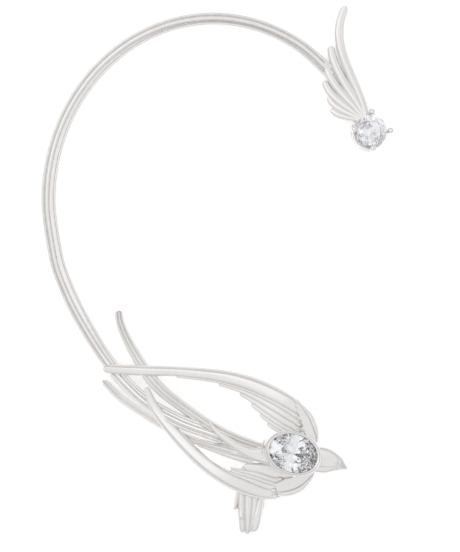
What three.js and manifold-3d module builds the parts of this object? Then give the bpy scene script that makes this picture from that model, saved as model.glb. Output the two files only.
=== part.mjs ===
// Ear cuff in millimetres, lying on its back: X to the right, Y up the ear, Z towards the viewer.
import * as THREE from "three";
import { mergeVertices } from "three/addons/utils/BufferGeometryUtils.js";
import Module from "manifold-3d";

const wasm = await Module();
wasm.setup();

// Ear hook: three wires side by side, on an ellipse and then down to the bird
const hookWidth = 43.2;
const hookHeight = 47.2;
const hookDrop = 30.1;
const hookStart = 43.5;
const hookLeave = 195;
const wireHeight = 1.0;
const outerWireWidth = 0.48;
const middleWireWidth = 0.74;
const innerWireWidth = 0.5;
const innerWireSetback = 1.75;
const solderLap = 0.06;
const seamTolerance = 0.004;

// Stones
const ovalStoneLength = 6.4;
const ovalStoneWidth = 4.8;
const roundStoneWidth = 4.0;
const tableShare = 0.56;
const crownShare = 0.15;
const pavilionShare = 0.41;
const girdleHeight = 0.16;
const stoneClearance = 0.12;
const culetGap = 0.3;

// Bird: its middle is the oval stone, right of and below the hook's lower end
const birdReach = 9.75;
const birdFall = 1.46;
const bezelWall = 0.34;
const bezelRim = 0.3;
const bezelLean = 13;
const bezelBearing = 15;
const bezelSpin = -17;
const bezelSink = 0.35;
const bodyWidth = 3.3;
const bodyHeight = 1.7;
const rumpReach = 10.6;
const rumpLift = 4.2;
const beakReach = 6.8;
const beakDrop = 1.95;
const featherHeight = 0.85;
const upperWingLength = 26.8;
const upperWingBreadth = 6.2;
const upperWingAngle = 164.6;
const upperWingFall = 26.8;
const lowerWingLength = 21.4;
const lowerWingBreadth = 5.0;
const lowerWingAngle = 147.1;
const lowerWingFall = 21.4;
const shoulderHeight = 1.3;

// Tail
const upperStreamerReach = 17.9;
const upperStreamerRise = 17.0;
const lowerStreamerReach = 19.9;
const lowerStreamerRise = 9.4;
const streamerWidth = 1.4;
const shortTailReach = 7.1;
const shortTailRise = 1.9;
const shortTailWidth = 1.6;

// Crest of feathers at the hook's upper end, and the round stone's claw setting
const crestReach = 2.7;
const crestFall = 5.9;
const crestLength = 14.1;
const crestFeatherWidth = 1.25;
const crestHeight = 0.7;
const crestLift = 1.0;
const crestNeckWidth = 1.7;
const settingReach = 1.0;
const settingFall = 2.1;
const settingLift = 0.9;
const settingLean = 20;
const settingBearing = 42;
const basketWidth = 3.8;
const basketRim = -0.55;
const clawThickness = 0.6;
const clawRise = 0.62;

// Clip behind the lobe: a strap folded into a U under the lower wing
const lobeGap = 4.6;
const clipThickness = 1.0;
const clipWidth = 3.6;
const clipLeft = 5.0;
const clipDown = 2.2;
const clipReach = 8.1;
const clipBackReach = 9.4;
const clipTurn = -4;
const clipSeatGap = 0.2;

// The bird's back stands off by the clip's two straps and the lobe between them
const birdRise = lobeGap + 2 * clipThickness + clipSeatGap;

const upright = new THREE.Vector3(0, 0, 1);
const radians = THREE.MathUtils.degToRad;

// A column of a table at a place from 0 to 1 along its rows, or at a value of its key column
function read(rows, column, place, key) {
  const keyOf = (k) => (key ? rows[k][key] : k / (rows.length - 1));
  const end = rows.length - 1;
  let i = 0;
  while (i < end - 1 && place > keyOf(i + 1)) i += 1;
  const slopeAt = (k) => {
    const low = Math.max(k - 1, 0);
    const high = Math.min(k + 1, end);
    return (rows[high][column] - rows[low][column]) / (keyOf(high) - keyOf(low));
  };
  const span = keyOf(i + 1) - keyOf(i);
  const t = THREE.MathUtils.clamp((place - keyOf(i)) / span, 0, 1);
  const from = rows[i][column] * (1 + 2 * t) + slopeAt(i) * span * t;
  const to = rows[i + 1][column] * (3 - 2 * t) + slopeAt(i + 1) * span * (t - 1);
  return from * (1 - t) ** 2 + to * t ** 2;
}

// A closed body through rings of points, each ring running the same way round, with a cap on each end
function loft(rings) {
  const count = rings[0].length;
  const points = rings.flat();
  const faces = [];
  for (let i = 0; i + 1 < rings.length; i++) {
    for (let j = 0; j < count; j++) {
      const a = i * count + j;
      const b = i * count + ((j + 1) % count);
      faces.push(a, b, b + count, a, b + count, a + count);
    }
  }
  const middleOf = (ring) =>
    ring.reduce((sum, point) => sum.add(point), new THREE.Vector3()).divideScalar(count);
  const first = points.push(middleOf(rings[0])) - 1;
  const last = points.push(middleOf(rings.at(-1))) - 1;
  const lastRing = (rings.length - 1) * count;
  for (let j = 0; j < count; j++) {
    const next = (j + 1) % count;
    faces.push(first, next, j, last, lastRing + j, lastRing + next);
  }
  return new THREE.BufferGeometry().setFromPoints(points).setIndex(faces);
}

// Sections as [across, rise]: across from -1 to 1, rise from 0 at the underside to 1 at the top
function roundSection(sides) {
  return Array.from({ length: sides }, (_, i) => {
    const turn = (2 * Math.PI * i) / sides;
    return [Math.cos(turn), 0.5 + Math.sin(turn) / 2];
  });
}

const featherSection = [
  [-0.85, 0],
  [0.85, 0],
  [1, 0.4],
  [0.6, 0.92],
  [0.05, 1],
  [-0.6, 0.75],
  [-1, 0.35],
];

const bodySection = [
  [-0.8, 0],
  [0.8, 0],
  [1, 0.35],
  [0.75, 0.78],
  [0.3, 1],
  [-0.3, 1],
  [-0.75, 0.78],
  [-1, 0.35],
];

// A flat back with lengthwise ridges on top
function flutedSection(ridges, depth) {
  const top = Array.from({ length: 2 * ridges + 1 }, (_, i) => {
    const across = 0.94 - (1.88 * i) / (2 * ridges);
    return [across, i % 2 ? 1 : 1 - depth];
  });
  return [[-0.94, 0], [0.94, 0], [1, 0.45], ...top, [-1, 0.45]];
}

// A bar along stations { x, y, z, width, height }, z at its underside. Its section stands upright,
// or keeps square to a given side where the path turns in height.
function bar(stations, sectionAt, fixedSide) {
  const feet = stations.map(({ x, y, z }) => new THREE.Vector3(x, y, z));
  const rings = stations.map(({ width, height }, i) => {
    const along = feet[Math.min(i + 1, feet.length - 1)].clone().sub(feet[Math.max(i - 1, 0)]);
    along.normalize();
    const side = fixedSide ?? new THREE.Vector3().crossVectors(upright, along).normalize();
    const up = fixedSide ? new THREE.Vector3().crossVectors(along, side).normalize() : upright;
    return sectionAt(i / (stations.length - 1)).map(([across, rise]) =>
      feet[i]
        .clone()
        .addScaledVector(side, (across * width) / 2)
        .addScaledVector(up, rise * height),
    );
  });
  return loft(rings);
}

// The share of its full width that a feather keeps at a place from root 0 to tip 1
function featherTaper(place, point = 0.75) {
  const past = THREE.MathUtils.clamp((place - point) / (1 - point), 0, 1);
  return 0.22 + 0.78 * Math.sqrt(1 - past ** 2);
}

function solidOf(geometry) {
  const bare = geometry.clone();
  bare.deleteAttribute("normal");
  bare.deleteAttribute("uv");
  const merged = mergeVertices(bare, 1e-5);
  return new wasm.Manifold(
    new wasm.Mesh({
      numProp: 3,
      vertProperties: merged.attributes.position.array,
      triVerts: new Uint32Array(merged.index.array),
    }),
  );
}

function geometryOf(solid) {
  const { vertProperties, triVerts } = solid.getMesh();
  const geometry = new THREE.BufferGeometry();
  geometry.setAttribute("position", new THREE.BufferAttribute(vertProperties, 3));
  geometry.setIndex(new THREE.BufferAttribute(triVerts, 1));
  geometry.computeVertexNormals();
  return geometry;
}

const fuse = (geometries) => geometries.map(solidOf).reduce((whole, piece) => whole.add(piece));

// Hook: the outer edge as an ellipse, whose inner wire swings away from the other two
const hookRows = [
  { turn: hookStart, spread: 0.88 },
  { turn: 90, spread: 0.83 },
  { turn: 140, spread: 0.95 },
  { turn: hookLeave, spread: 1.0 },
];

// Below the ellipse: out is a share of half the hook's width, down of its drop, rise of the bird's
const hookRunRows = [
  { out: 0.92, down: 0.33, rise: 0, spread: 1.02 },
  { out: 0.81, down: 0.5, rise: 0, spread: 1.0 },
  { out: 0.63, down: 0.7, rise: 0.07, spread: 0.88 },
  { out: 0.43, down: 0.85, rise: 0.33, spread: 0.86 },
  { out: 0.22, down: 0.94, rise: 0.67, spread: 0.86 },
  { out: -0.01, down: 1.0, rise: 0.97, spread: 0.86 },
];

const hookArcSteps = 10;
const hookEdge = [];
for (let i = 0; i <= hookArcSteps; i++) {
  const turn = THREE.MathUtils.lerp(hookStart, hookLeave, i / hookArcSteps);
  hookEdge.push({
    x: (hookWidth / 2) * Math.cos(radians(turn)),
    y: (hookHeight / 2) * Math.sin(radians(turn)),
    z: 0,
    spread: read(hookRows, "spread", turn, "turn"),
  });
}
for (const { out, down, rise, spread } of hookRunRows) {
  hookEdge.push({ x: (-out * hookWidth) / 2, y: -down * hookDrop, z: rise * birdRise, spread });
}

// One wire of the hook, set back from the outer edge, up to the given share of the hook's length
function hookWire(setback, width, spreads, reach) {
  const steps = 50;
  const step = 1 / 400;
  const stations = [];
  for (let i = 0; i <= steps; i++) {
    const place = (reach * i) / steps;
    const ahead = Math.min(place + step, 1);
    const behind = Math.max(place - step, 0);
    const dx = read(hookEdge, "x", ahead) - read(hookEdge, "x", behind);
    const dy = read(hookEdge, "y", ahead) - read(hookEdge, "y", behind);
    const inward = setback * (spreads ? read(hookEdge, "spread", place) : 1);
    stations.push({
      x: read(hookEdge, "x", place) - (dy * inward) / Math.hypot(dx, dy),
      y: read(hookEdge, "y", place) + (dx * inward) / Math.hypot(dx, dy),
      z: Math.max(read(hookEdge, "z", place), 0),
      width,
      height: wireHeight,
    });
  }
  return bar(stations, () => roundSection(8));
}

const hookWires = [
  hookWire(outerWireWidth / 2, outerWireWidth, false, 1),
  hookWire(outerWireWidth + middleWireWidth / 2 - solderLap, middleWireWidth, false, 1),
  hookWire(innerWireSetback, innerWireWidth, true, 0.95),
];

// Places on the bird are given from its middle in half lengths and half widths of the bezel
const bezelLength = ovalStoneLength + 2 * (stoneClearance + bezelWall);
const bezelWidth = ovalStoneWidth + 2 * (stoneClearance + bezelWall);
const hookEnd = hookEdge.at(-1);
const birdX = hookEnd.x + birdReach;
const birdY = hookEnd.y - birdFall;
const onBird = (along, across) => ({
  x: birdX + (along * bezelLength) / 2,
  y: birdY + (across * bezelWidth) / 2,
});

// A wing: edge is where its leading edge runs, by places along it, and spread fans its feathers.
// Lift is its height, and comes down to the hook over the wing's fall. Each feather has its width
// and how far along the wing its tip reaches.
const upperWing = {
  root: onBird(0.58, 1.2),
  angle: upperWingAngle,
  length: upperWingLength,
  fall: upperWingFall,
  breadth: upperWingBreadth,
  leading: -1,
  rows: [
    { along: -0.05, edge: 0.0, spread: 0.5, lift: 1.04 },
    { along: 0, edge: 0.19, spread: 0.52, lift: 1.06 },
    { along: 0.05, edge: 0.35, spread: 0.62, lift: 1.06 },
    { along: 0.13, edge: 0.49, spread: 0.8, lift: 1.04 },
    { along: 0.23, edge: 0.595, spread: 0.96, lift: 0.96 },
    { along: 0.34, edge: 0.64, spread: 1.0, lift: 0.85 },
    { along: 0.46, edge: 0.605, spread: 0.93, lift: 0.69 },
    { along: 0.65, edge: 0.445, spread: 0.78, lift: 0.46 },
    { along: 0.84, edge: 0.245, spread: 0.8, lift: 0.3 },
    { along: 1.0, edge: 0.07, spread: 0.62, lift: 0.21 },
  ],
  feathers: [
    { width: 0.15, tip: 1.0 },
    { width: 0.1, tip: 0.99 },
    { width: 0.1, tip: 0.66 },
    { width: 0.105, tip: 0.46 },
    { width: 0.115, tip: 0.36 },
    { width: 0.115, tip: 0.29 },
    { width: 0.115, tip: 0.24 },
    { width: 0.11, tip: 0.19 },
  ],
  shoulder: [
    { along: -0.05, across: -0.3, width: 0.14 },
    { along: -0.012, across: -0.1, width: 0.33 },
    { along: 0.026, across: 0.11, width: 0.34 },
    { along: 0.06, across: 0.26, width: 0.24 },
    { along: 0.085, across: 0.37, width: 0.12 },
  ],
};

const lowerWing = {
  root: onBird(-0.1, -1.19),
  angle: lowerWingAngle,
  length: lowerWingLength,
  fall: lowerWingFall,
  breadth: lowerWingBreadth,
  leading: 1,
  rows: [
    { along: -0.04, edge: 0.28, spread: 0.6, lift: 1.0 },
    { along: 0, edge: 0.52, spread: 0.62, lift: 1.02 },
    { along: 0.08, edge: 0.76, spread: 0.74, lift: 1.02 },
    { along: 0.2, edge: 0.93, spread: 0.97, lift: 1.02 },
    { along: 0.34, edge: 1.0, spread: 1.0, lift: 0.99 },
    { along: 0.48, edge: 0.97, spread: 1.03, lift: 0.9 },
    { along: 0.64, edge: 0.83, spread: 1.0, lift: 0.76 },
    { along: 0.81, edge: 0.6, spread: 0.9, lift: 0.6 },
    { along: 0.92, edge: 0.38, spread: 0.76, lift: 0.52 },
    { along: 1.0, edge: 0.1, spread: 0.5, lift: 0.48 },
  ],
  feathers: [
    { width: 0.3, tip: 1.0 },
    { width: 0.12, tip: 0.43 },
    { width: 0.16, tip: 0.33 },
    { width: 0.18, tip: 0.24 },
    { width: 0.17, tip: 0.19 },
  ],
  shoulder: [
    { along: -0.09, across: -0.5, width: 0.12 },
    { along: -0.07, across: -0.26, width: 0.34 },
    { along: -0.045, across: -0.02, width: 0.46 },
    { along: -0.004, across: 0.2, width: 0.48 },
    { along: 0.035, across: 0.38, width: 0.34 },
  ],
};

function wingPieces({ root, angle, length, fall, breadth, leading, rows, feathers, shoulder }) {
  const out = new THREE.Vector2(1, 0).rotateAround(new THREE.Vector2(), radians(angle));
  const up = new THREE.Vector2(-out.y, out.x).multiplyScalar(leading);
  const placeOf = (along, across) => ({
    x: root.x + out.x * along * length + up.x * across * breadth,
    y: root.y + out.y * along * length + up.y * across * breadth,
    z: read(rows, "lift", (along * length) / fall, "along") * birdRise,
  });
  const pieces = [];
  let setback = 0;
  for (const { width, tip } of feathers) {
    const middle = setback + width / 2;
    setback += width;
    const steps = Math.ceil(6 + 10 * tip);
    const stations = [];
    for (let i = 0; i <= steps; i++) {
      const along = THREE.MathUtils.lerp(0.01, tip, i / steps);
      const spread = read(rows, "spread", along, "along");
      const across = read(rows, "edge", along, "along") - middle * spread;
      stations.push({
        ...placeOf(along, across),
        width: (width * spread * breadth + 2 * solderLap) * featherTaper(i / steps),
        height: featherHeight,
      });
    }
    pieces.push(bar(stations, () => featherSection));
  }
  const humps = shoulder.map(({ along, across, width }) => ({
    ...placeOf(along, across),
    width: width * breadth,
    height: shoulderHeight,
  }));
  pieces.push(bar(humps, () => bodySection));
  return pieces;
}

// A feather or streamer from a table of shares of its own reach and rise to the left of its root
function streamer(root, reach, rise, width, rows, steps, section) {
  const stations = [];
  for (let i = 0; i <= steps; i++) {
    const place = i / steps;
    stations.push({
      x: root.x - read(rows, "left", place) * reach,
      y: root.y + read(rows, "up", place) * rise,
      z: read(rows, "lift", place) * birdRise,
      width: width * read(rows, "width", place) * featherTaper(place, 0.9),
      height: featherHeight,
    });
  }
  return bar(stations, () => section);
}

const upperStreamerRows = [
  { left: 0, up: 0, lift: 0.98, width: 0.8 },
  { left: 0.19, up: 0.07, lift: 0.96, width: 0.95 },
  { left: 0.36, up: 0.16, lift: 0.85, width: 1.0 },
  { left: 0.53, up: 0.28, lift: 0.66, width: 1.0 },
  { left: 0.67, up: 0.39, lift: 0.45, width: 1.0 },
  { left: 0.78, up: 0.51, lift: 0.29, width: 0.98 },
  { left: 0.87, up: 0.66, lift: 0.17, width: 0.85 },
  { left: 0.945, up: 0.8, lift: 0.1, width: 0.76 },
  { left: 0.99, up: 0.92, lift: 0.08, width: 0.68 },
  { left: 1.0, up: 1.0, lift: 0.1, width: 0.6 },
];

const lowerStreamerRows = [
  { left: 0, up: 0, lift: 0.98, width: 0.7 },
  { left: 0.14, up: 0.06, lift: 0.96, width: 0.8 },
  { left: 0.28, up: 0.13, lift: 0.86, width: 0.8 },
  { left: 0.42, up: 0.21, lift: 0.7, width: 0.8 },
  { left: 0.54, up: 0.32, lift: 0.52, width: 0.8 },
  { left: 0.66, up: 0.45, lift: 0.34, width: 0.8 },
  { left: 0.78, up: 0.61, lift: 0.2, width: 0.8 },
  { left: 0.89, up: 0.77, lift: 0.1, width: 0.8 },
  { left: 1.0, up: 1.0, lift: 0.06, width: 0.66 },
];

const shortTailRows = [
  { left: 0, up: 0, lift: 0.97, width: 1.0 },
  { left: 0.35, up: 0.3, lift: 0.95, width: 1.0 },
  { left: 0.7, up: 0.68, lift: 0.92, width: 0.7 },
  { left: 1.0, up: 1.0, lift: 0.9, width: 0.4 },
];

const tailFeathers = [
  streamer(
    onBird(-1.06, 0.25), upperStreamerReach, upperStreamerRise, streamerWidth,
    upperStreamerRows, 22, flutedSection(2, 0.3),
  ),
  streamer(
    onBird(-1.06, -0.15), lowerStreamerReach, lowerStreamerRise, streamerWidth,
    lowerStreamerRows, 20, flutedSection(2, 0.3),
  ),
  streamer(
    onBird(-1.33, -0.24), shortTailReach, shortTailRise, shortTailWidth,
    shortTailRows, 7, flutedSection(2, 0.3),
  ),
];

// Body from the rump's tip past the stone to the beak: left and up are shares of the rump's reach
// and lift, or negative ones of the beak's reach and drop
const bodyRows = [
  { left: 1, up: 1, width: 0.04, height: 0.5 },
  { left: 0.92, up: 0.7, width: 0.16, height: 0.62 },
  { left: 0.765, up: 0.38, width: 0.28, height: 0.8 },
  { left: 0.6, up: 0.12, width: 0.37, height: 0.92 },
  { left: 0.44, up: -0.03, width: 0.52, height: 1.0 },
  { left: 0.2, up: -0.03, width: 0.95, height: 1.0 },
  { left: 0, up: 0, width: 1.1, height: 1.0 },
  { left: -0.37, up: -0.34, width: 1.0, height: 1.0 },
  { left: -0.59, up: -0.47, width: 0.98, height: 1.05 },
  { left: -0.73, up: -0.57, width: 0.8, height: 1.0 },
  { left: -0.84, up: -0.7, width: 0.58, height: 0.8 },
  { left: -0.93, up: -0.86, width: 0.3, height: 0.55 },
  { left: -1, up: -1, width: 0.06, height: 0.3 },
];

const bodyStations = bodyRows.map(({ left, up, width, height }) => ({
  x: birdX - left * (left > 0 ? rumpReach : beakReach),
  y: birdY + up * (left > 0 ? rumpLift : beakDrop),
  z: birdRise,
  width: width * bodyWidth,
  height: height * bodyHeight,
}));

// A setting's own frame: its foot, and its axis leaning towards a bearing
function settingFrame(foot, leanTo, lean, spin) {
  const axis = new THREE.Vector3(Math.cos(radians(leanTo)), Math.sin(radians(leanTo)), 0);
  const tilt = new THREE.Quaternion().setFromAxisAngle(
    new THREE.Vector3().crossVectors(upright, axis),
    radians(lean),
  );
  const twist = new THREE.Quaternion().setFromAxisAngle(upright, radians(spin));
  const matrix = new THREE.Matrix4();
  return matrix.compose(foot, tilt.multiply(twist), new THREE.Vector3(1, 1, 1));
}

// The girdle's height over the setting's foot, for a stone of the given width
const girdleOver = (width) => pavilionShare * width + culetGap;

// A plug with the setting's outer wall, and the pocket that is cut out of it for the stone
function settingPlug(length, width, outer, rim, waist) {
  const top = girdleOver(width) + girdleHeight / 2 + rim;
  const profile = [
    [0, 0],
    [outer * waist, 0],
    [outer * 0.97, girdleOver(width) * 0.6],
    [outer, top],
    [0, top],
  ];
  return turned(profile, length, width);
}

function settingPocket(length, width) {
  const inner = length / 2 + stoneClearance;
  const girdle = girdleOver(width) - girdleHeight / 2;
  const profile = [
    [0, girdle - pavilionShare * width - stoneClearance],
    [inner, girdle - stoneClearance],
    [inner, girdle + width],
    [0, girdle + width],
  ];
  return turned(profile, length, width);
}

function turned(profile, length, width) {
  const points = profile.map(([radius, height]) => new THREE.Vector2(radius, height));
  const geometry = new THREE.LatheGeometry(points, 32);
  return geometry.rotateX(Math.PI / 2).scale(1, width / length, 1);
}

// A cut stone round its own girdle: a table, star, kite and girdle facets, and a pavilion in points
function cutStone(length, width) {
  const crown = crownShare * width;
  const pavilion = pavilionShare * width;
  const point = (turn, share, height) => {
    const angle = (Math.PI * turn) / 8;
    const x = (Math.cos(angle) * share * length) / 2;
    return new THREE.Vector3(x, (Math.sin(angle) * share * width) / 2, height);
  };
  const points = [];
  const ring = (sides, offset, share, height) => {
    const start = points.length;
    for (let i = 0; i < sides; i++) points.push(point((16 * i) / sides + offset, share, height));
    return (i) => start + ((i + sides) % sides);
  };
  const starShare = 0.5 + tableShare * 0.55;
  const table = ring(8, 0, tableShare, crown + girdleHeight / 2);
  const star = ring(8, 1, starShare, crown * 0.52 + girdleHeight / 2);
  const girdleTop = ring(16, 0, 1, girdleHeight / 2);
  const girdleFoot = ring(16, 0, 1, -girdleHeight / 2);
  const lower = ring(8, 1, 0.3, -pavilion * 0.72 - girdleHeight / 2);
  const middle = points.push(new THREE.Vector3(0, 0, crown + girdleHeight / 2)) - 1;
  const culet = points.push(new THREE.Vector3(0, 0, -pavilion - girdleHeight / 2)) - 1;
  const faces = [];
  for (let i = 0; i < 8; i++) {
    faces.push(middle, table(i), table(i + 1), table(i), star(i), table(i + 1));
    faces.push(table(i), star(i - 1), girdleTop(2 * i), table(i), girdleTop(2 * i), star(i));
    faces.push(star(i), girdleTop(2 * i), girdleTop(2 * i + 1));
    faces.push(star(i), girdleTop(2 * i + 1), girdleTop(2 * i + 2));
    faces.push(lower(i), girdleFoot(2 * i + 1), girdleFoot(2 * i));
    faces.push(lower(i), girdleFoot(2 * i + 2), girdleFoot(2 * i + 1));
    faces.push(culet, girdleFoot(2 * i), lower(i - 1), culet, lower(i), girdleFoot(2 * i));
  }
  for (let j = 0; j < 16; j++) {
    faces.push(girdleTop(j), girdleFoot(j), girdleFoot(j + 1));
    faces.push(girdleTop(j), girdleFoot(j + 1), girdleTop(j + 1));
  }
  return new THREE.BufferGeometry().setFromPoints(points).setIndex(faces);
}

// Four claws that stand on the basket's foot and bend in over the girdle
function claws() {
  const girdle = girdleOver(roundStoneWidth);
  const gap = stoneClearance + clawThickness / 2;
  const rows = [
    { out: roundStoneWidth * 0.25, up: 0 },
    { out: roundStoneWidth * 0.42, up: girdle * 0.45 },
    { out: roundStoneWidth / 2 + gap, up: girdle - girdleHeight },
    { out: roundStoneWidth / 2 + gap, up: girdle + girdleHeight },
    { out: roundStoneWidth * 0.45, up: girdle + clawRise + clawThickness * 0.25 },
  ];
  return [0, 90, 180, 270].map((turn) => {
    const stations = rows.map(({ out, up }) => ({
      x: out,
      y: 0,
      z: up,
      width: clawThickness,
      height: clawThickness,
    }));
    const section = roundSection(8).map(([across, rise]) => [across, rise - 0.5]);
    return bar(stations, () => section, new THREE.Vector3(0, -1, 0)).rotateZ(radians(turn));
  });
}

// Crest: feathers from one root beside the setting. Length and width are shares of the longest
// one's, and bow is how far a feather swings to the left, as a share of its own length.
const crestRows = [
  { length: 1.0, bearing: 96.9, bow: 0.115, width: 1.0 },
  { length: 0.69, bearing: 112, bow: 0.055, width: 0.92 },
  { length: 0.58, bearing: 121.5, bow: 0.075, width: 0.88 },
  { length: 0.455, bearing: 134, bow: 0.08, width: 0.88 },
  { length: 0.335, bearing: 147, bow: 0.075, width: 0.84 },
  { length: 0.27, bearing: 163, bow: 0.08, width: 0.76 },
];

const crestX = hookEdge[0].x + crestReach;
const crestY = hookEdge[0].y - crestFall;

function crestFeather({ length, bearing, bow, width }, layer) {
  const steps = Math.ceil(4 + 10 * length);
  const reach = length * crestLength;
  const out = new THREE.Vector2(1, 0).rotateAround(new THREE.Vector2(), radians(bearing));
  const stations = [];
  for (let i = 0; i <= steps; i++) {
    const place = i / steps;
    const swing = 4 * bow * place * (1 - place) * (0.1 + 1.5 * place);
    const rootShare = 0.55 + 0.45 * Math.min(3 * place, 1);
    stations.push({
      x: crestX + (out.x * place - out.y * swing) * reach,
      y: crestY + (out.y * place + out.x * swing) * reach,
      z: crestLift * (1 - 0.7 * place - 0.05 * layer),
      width: crestFeatherWidth * width * rootShare * featherTaper(place, 0.8),
      height: crestHeight * (1.57 - 0.57 * place),
    });
  }
  return bar(stations, () => featherSection);
}

// The feathers' roots run together into a neck that is soldered to the setting's foot
function crestNeck(foot) {
  const stations = [-0.25, 0.1, 0.45, 0.8].map((place) => ({
    x: THREE.MathUtils.lerp(crestX, foot.x, place),
    y: THREE.MathUtils.lerp(crestY, foot.y, place),
    z: THREE.MathUtils.lerp(crestLift, foot.z, Math.max(place, 0)),
    width: crestNeckWidth,
    height: crestHeight * 1.43,
  }));
  return bar(stations, () => bodySection);
}

// Clip: the inner line of the strap, down the front, round the bend and up the back
const clipBend = lobeGap / 2;
const clipFront = clipReach - clipBend - clipThickness;
const clipBack = clipBackReach - clipBend - clipThickness;

function lobeClip() {
  const stations = [];
  const put = (y, z, share) => {
    stations.push({ x: 0, y, z, width: clipWidth * share, height: clipThickness });
  };
  const frontLevel = clipThickness + lobeGap;
  put(0, frontLevel, 1);
  put(-clipFront / 2, frontLevel, 1);
  for (let i = 0; i <= 8; i++) {
    const turn = (Math.PI * i) / 8;
    const z = clipThickness + clipBend * (1 + Math.cos(turn));
    put(-clipFront - clipBend * Math.sin(turn), z, 0.92 * Math.sqrt(1 - (0.9 * Math.sin(turn)) ** 2));
  }
  put(-clipFront + clipBack * 0.08, clipThickness, 0.92);
  put(-clipFront + clipBack * 0.6, clipThickness, 0.92);
  put(-clipFront + clipBack * 0.85, clipThickness, 0.85);
  put(-clipFront + clipBack, clipThickness, 0.5);
  const ridged = flutedSection(4, 0.16);
  const plain = ridged.map(([across, rise]) => [across, rise > 0.5 ? 1 : rise]);
  const sectionAt = (place) => (place < 0.7 ? ridged : plain);
  return bar(stations, sectionAt, new THREE.Vector3(1, 0, 0));
}

const metal = new THREE.MeshStandardMaterial({ color: 0xe9e6e3, metalness: 1, roughness: 0.3 });
const gem = new THREE.MeshStandardMaterial({ color: 0xffffff, metalness: 0, roughness: 0.02 });

const cuff = new THREE.Group();

// The bezel's foot stands back from the bird's middle, so that the leaning stone is over it
const bezelShift = girdleOver(ovalStoneWidth) * Math.sin(radians(bezelLean));
const bezelFoot = new THREE.Vector3(
  birdX - bezelShift * Math.cos(radians(bezelBearing)),
  birdY - bezelShift * Math.sin(radians(bezelBearing)),
  birdRise + bezelSink,
);
const bezelFrame = settingFrame(bezelFoot, bezelBearing, bezelLean, bezelSpin);
const basketFoot = new THREE.Vector3(crestX + settingReach, crestY - settingFall, settingLift);
const basketFrame = settingFrame(basketFoot, settingBearing, settingLean, 0);

const plugs = [
  settingPlug(ovalStoneLength, ovalStoneWidth, bezelLength / 2, bezelRim, 0.84),
  settingPlug(roundStoneWidth, roundStoneWidth, basketWidth / 2, basketRim, 0.7),
];
const pockets = [
  settingPocket(ovalStoneLength, ovalStoneWidth).applyMatrix4(bezelFrame),
  settingPocket(roundStoneWidth, roundStoneWidth).applyMatrix4(basketFrame),
];

const metalWork = fuse([
  ...hookWires,
  ...crestRows.map(crestFeather),
  crestNeck(basketFoot),
  ...wingPieces(upperWing),
  ...wingPieces(lowerWing),
  ...tailFeathers,
  bar(bodyStations, () => bodySection),
  plugs[0].applyMatrix4(bezelFrame),
  plugs[1].applyMatrix4(basketFrame),
]);
const frameSolid = metalWork
  .subtract(fuse(pockets))
  .add(fuse(claws().map((claw) => claw.applyMatrix4(basketFrame))))
  .simplify(seamTolerance);

const cuffFrame = new THREE.Mesh(geometryOf(frameSolid), metal);
cuffFrame.name = "cuff_frame";

const clip = new THREE.Mesh(lobeClip(), metal.clone());
clip.name = "lobe_clip";
clip.position.set(birdX - clipLeft, birdY - clipDown, 0);
clip.rotation.z = radians(clipTurn);

function stoneMesh(name, length, width, setting) {
  const mesh = new THREE.Mesh(cutStone(length, width), gem.clone());
  mesh.name = name;
  const seat = new THREE.Matrix4().makeTranslation(0, 0, girdleOver(width));
  mesh.applyMatrix4(new THREE.Matrix4().multiplyMatrices(setting, seat));
  return mesh;
}

cuff.add(
  cuffFrame,
  clip,
  stoneMesh("oval_stone", ovalStoneLength, ovalStoneWidth, bezelFrame),
  stoneMesh("round_stone", roundStoneWidth, roundStoneWidth, basketFrame),
);

// The origin is at the middle of the cuff's footprint, on the surface that it lies on
const box = new THREE.Box3().setFromObject(cuff, true);
const middle = box.getCenter(new THREE.Vector3());
cuff.position.set(-middle.x, -middle.y, -box.min.z);

export default cuff;
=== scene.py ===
import math

import bpy
import numpy as np
from mathutils import Matrix, Quaternion, Vector


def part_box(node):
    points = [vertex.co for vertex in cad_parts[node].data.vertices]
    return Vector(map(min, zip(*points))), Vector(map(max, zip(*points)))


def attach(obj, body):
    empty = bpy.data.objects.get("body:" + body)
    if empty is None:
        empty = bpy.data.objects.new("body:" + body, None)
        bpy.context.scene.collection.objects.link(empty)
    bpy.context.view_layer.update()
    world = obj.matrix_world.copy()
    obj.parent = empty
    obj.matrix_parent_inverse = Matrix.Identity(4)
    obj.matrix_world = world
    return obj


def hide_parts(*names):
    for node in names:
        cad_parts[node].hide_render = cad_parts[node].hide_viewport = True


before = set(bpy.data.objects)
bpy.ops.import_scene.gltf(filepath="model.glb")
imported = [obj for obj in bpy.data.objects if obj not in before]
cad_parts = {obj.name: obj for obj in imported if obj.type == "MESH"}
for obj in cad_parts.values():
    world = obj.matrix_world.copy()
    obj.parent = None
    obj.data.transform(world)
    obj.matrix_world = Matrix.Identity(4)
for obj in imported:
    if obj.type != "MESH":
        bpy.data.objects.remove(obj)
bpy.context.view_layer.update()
print("frame loaded:", ", ".join(sorted(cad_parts)))

millimetre = 0.001
upright = np.array([0.0, 0.0, 1.0])


# Shapes
def readRows(rows, column, place, key=None):
    # a smooth curve through a column of the rows, by place 0 to 1 or by a key column
    last = len(rows) - 1
    keys = [row[key] if key else i / last for i, row in enumerate(rows)]
    i = 0
    while i < last - 1 and place > keys[i + 1]:
        i += 1

    def slope(k):
        low, high = max(k - 1, 0), min(k + 1, last)
        return (rows[high][column] - rows[low][column]) / (keys[high] - keys[low])

    span = keys[i + 1] - keys[i]
    t = min(max((place - keys[i]) / span, 0), 1)
    start = rows[i][column] * (1 + 2 * t) + slope(i) * span * t
    end = rows[i + 1][column] * (3 - 2 * t) + slope(i + 1) * span * (t - 1)
    return start * (1 - t) ** 2 + end * t ** 2


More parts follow.
